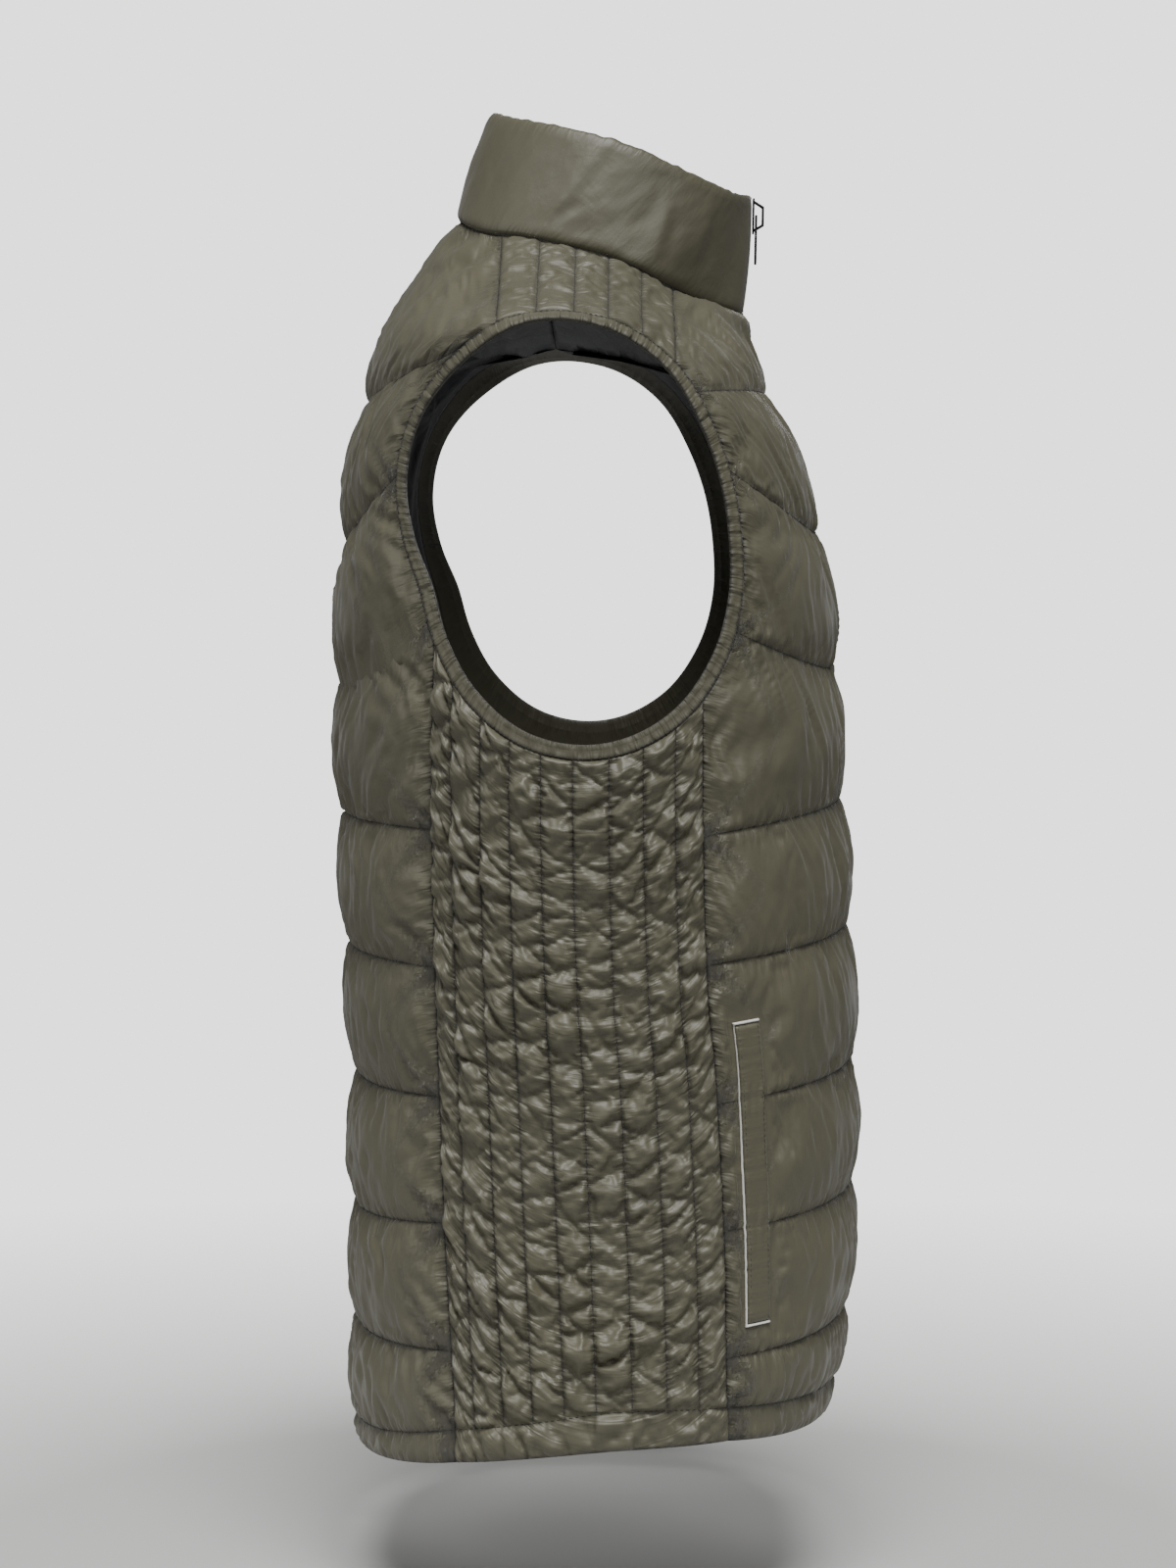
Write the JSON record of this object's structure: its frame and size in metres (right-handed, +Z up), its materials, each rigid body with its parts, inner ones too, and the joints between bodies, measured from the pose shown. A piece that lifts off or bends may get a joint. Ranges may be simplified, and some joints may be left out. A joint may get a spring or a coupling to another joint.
{
  "type": "quilted vest",
  "caption": "Sleeveless padded vest with a stand collar, quilted body, narrow-channelled side and shoulder panels, zip front and upright welt pockets, shown hollow as if worn.",
  "frame": {"origin": "on the middle plane, at the height where the shoulders carry the vest", "axes": "+Z up, -Y the way the front with the zip faces, -X the wearer's right"},
  "size_m": [0.4468, 0.3232, 0.8222],
  "materials": {
    "shell": "satin",
    "lining": "satin",
    "zip_tape": "matte",
    "zip_teeth": "satin",
    "zip_metal": "satin",
    "piping": "matte"
  },
  "bodies": {
    "vest": {"front_right": "shell", "front_left": "shell", "back": "shell", "side_right": "shell", "side_left": "shell", "shoulder_right": "shell", "shoulder_left": "shell", "collar": "shell", "armhole_facing_right": "shell", "armhole_facing_left": "shell", "lining_front_right": "lining", "lining_front_left": "lining", "lining_back": "lining", "zip_tape_right": "zip_tape", "zip_tape_left": "zip_tape", "zip_chain": "zip_teeth", "zip_slider": "zip_metal", "zip_box": "zip_teeth", "pocket_welt_right": "shell", "pocket_welt_left": "shell", "pocket_piping_right": "piping", "pocket_piping_left": "piping"},
    "pull": {"zip_pull": "zip_metal"}
  },
  "joints": [
    {"name": "zip_pull_hinge", "type": "hinge", "parent": "vest", "child": "pull", "pos_m": [0, -0.10856, 0.06211], "axis": [-1, 0, 0], "range_deg": [0, 170]}
  ]
}
